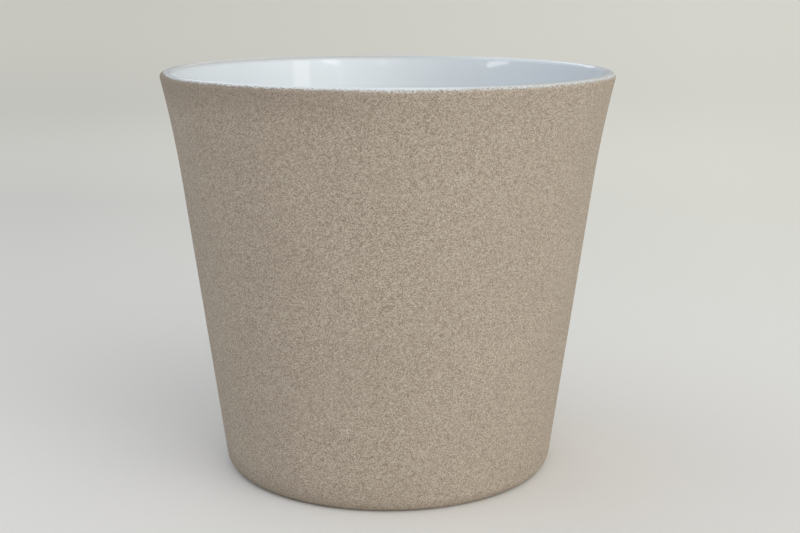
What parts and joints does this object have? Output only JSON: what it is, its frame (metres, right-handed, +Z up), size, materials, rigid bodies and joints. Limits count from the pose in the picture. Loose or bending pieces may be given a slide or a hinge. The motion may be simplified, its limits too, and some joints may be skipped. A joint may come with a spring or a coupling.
{
  "type": "cachepot",
  "caption": "Round tapered ceramic cachepot with a slightly flared rim, a glossy white glazed inside and a matt sand-textured outside, for hiding a nursery pot.",
  "frame": {"origin": "centre of the base, on the surface that the foot ring stands on", "axes": "+Z up along the pot's axis; the pot is round, so +X and +Y are any two square directions"},
  "size_m": [0.19, 0.19, 0.1705],
  "materials": {
    "fired_clay": "bare fired earthenware, matt, seen only under the foot",
    "white_glaze": "smooth glossy white glaze",
    "sand_coat": "matt beige coat with fine sand grain"
  },
  "bodies": {
    "root": {"clay_body": "fired_clay", "inner_glaze": "white_glaze", "outer_coat": "sand_coat"}
  },
  "joints": []
}
